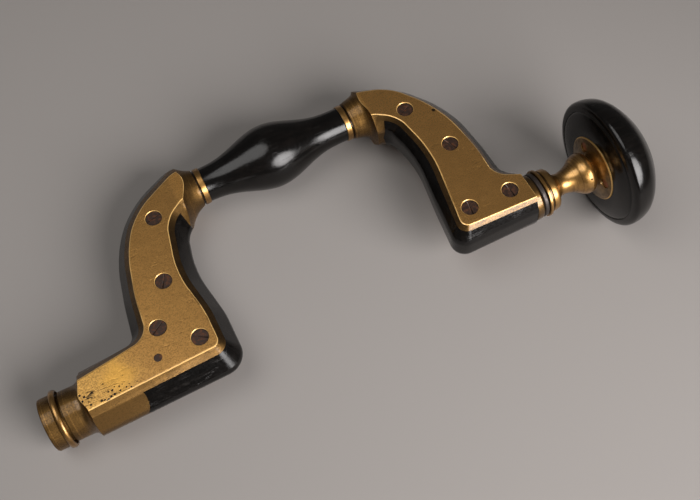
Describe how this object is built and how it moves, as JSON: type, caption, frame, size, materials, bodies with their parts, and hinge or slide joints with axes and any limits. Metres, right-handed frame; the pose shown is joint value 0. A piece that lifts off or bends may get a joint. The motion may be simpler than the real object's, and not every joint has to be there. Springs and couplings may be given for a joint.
{
  "type": "bit brace",
  "caption": "Hand bit brace with bevelled brass cheeks on ebony, a turned grip on a steel rod, a domed revolving head and a square bit socket with a ring-released spring catch.",
  "frame": {"origin": "below the middle of the whole brace, at the height of the head's lowest edge", "axes": "+X from the bit socket along the main axis to the head's crown, +Y from the main axis to the grip, +Z out of the front cheek"},
  "size_m": [0.356, 0.1554, 0.076],
  "materials": {
    "cheek_brass": "aged cast and filed brass, worn bright on the arrises",
    "turned_brass": "turned brass, dull with age",
    "ebony": "polished black ebony with fine scuffs",
    "screw_steel": "browned steel with rust in the slots",
    "bright_steel": "plain steel"
  },
  "bodies": {
    "frame": {"lower_frame": "cheek_brass", "upper_frame": "cheek_brass", "lower_infill": "ebony", "upper_infill": "ebony", "grip_rod": "bright_steel", "head_spindle": "bright_steel", "thrust_washer": "screw_steel", "spindle_washer": "bright_steel", "spindle_nut": "bright_steel", "catch_pin": "screw_steel", "catch_spring": "bright_steel", "lower_front_screw_1": "screw_steel", "lower_front_screw_2": "screw_steel", "lower_front_screw_3": "screw_steel", "lower_front_screw_4": "screw_steel", "lower_back_screw_1": "screw_steel", "lower_back_screw_2": "screw_steel", "lower_back_screw_3": "screw_steel", "lower_back_screw_4": "screw_steel", "upper_front_screw_1": "screw_steel", "upper_front_screw_2": "screw_steel", "upper_front_screw_3": "screw_steel", "upper_front_screw_4": "screw_steel", "upper_back_screw_1": "screw_steel", "upper_back_screw_2": "screw_steel", "upper_back_screw_3": "screw_steel", "upper_back_screw_4": "screw_steel"},
    "release_ring_body": {"release_ring": "turned_brass", "ring_pin": "screw_steel"},
    "catch": {"catch_lever": "bright_steel"},
    "grip_body": {"grip": "ebony", "lower_ferrule": "turned_brass", "upper_ferrule": "turned_brass"},
    "head_body": {"neck": "turned_brass", "head_flange": "turned_brass", "head": "ebony", "flange_screw_1": "screw_steel", "flange_screw_2": "screw_steel", "flange_screw_3": "screw_steel"}
  },
  "joints": [
    {"name": "ring_press", "type": "slide", "parent": "frame", "child": "release_ring_body", "axis": [0, 1, 0], "range_m": [0, 0.0018], "stiffness_N_per_m": 1500, "springref_m": -0.0015},
    {"name": "catch_swing", "type": "hinge", "parent": "frame", "child": "catch", "pos_m": [-0.11279, -0.03864, 0.038], "axis": [0, 0, 1], "range_deg": [-1.9, 0]},
    {"name": "grip_spin", "type": "hinge", "parent": "frame", "child": "grip_body", "pos_m": [-0.00645, 0.05878, 0.038], "axis": [1, 0, 0], "continuous": true},
    {"name": "head_spin", "type": "hinge", "parent": "frame", "child": "head_body", "pos_m": [0.132, -0.03972, 0.038], "axis": [1, 0, 0], "continuous": true}
  ],
  "couplings": [
    {"joint": "catch_swing", "follows": "ring_press", "rad_per_m": -17.59}
  ]
}
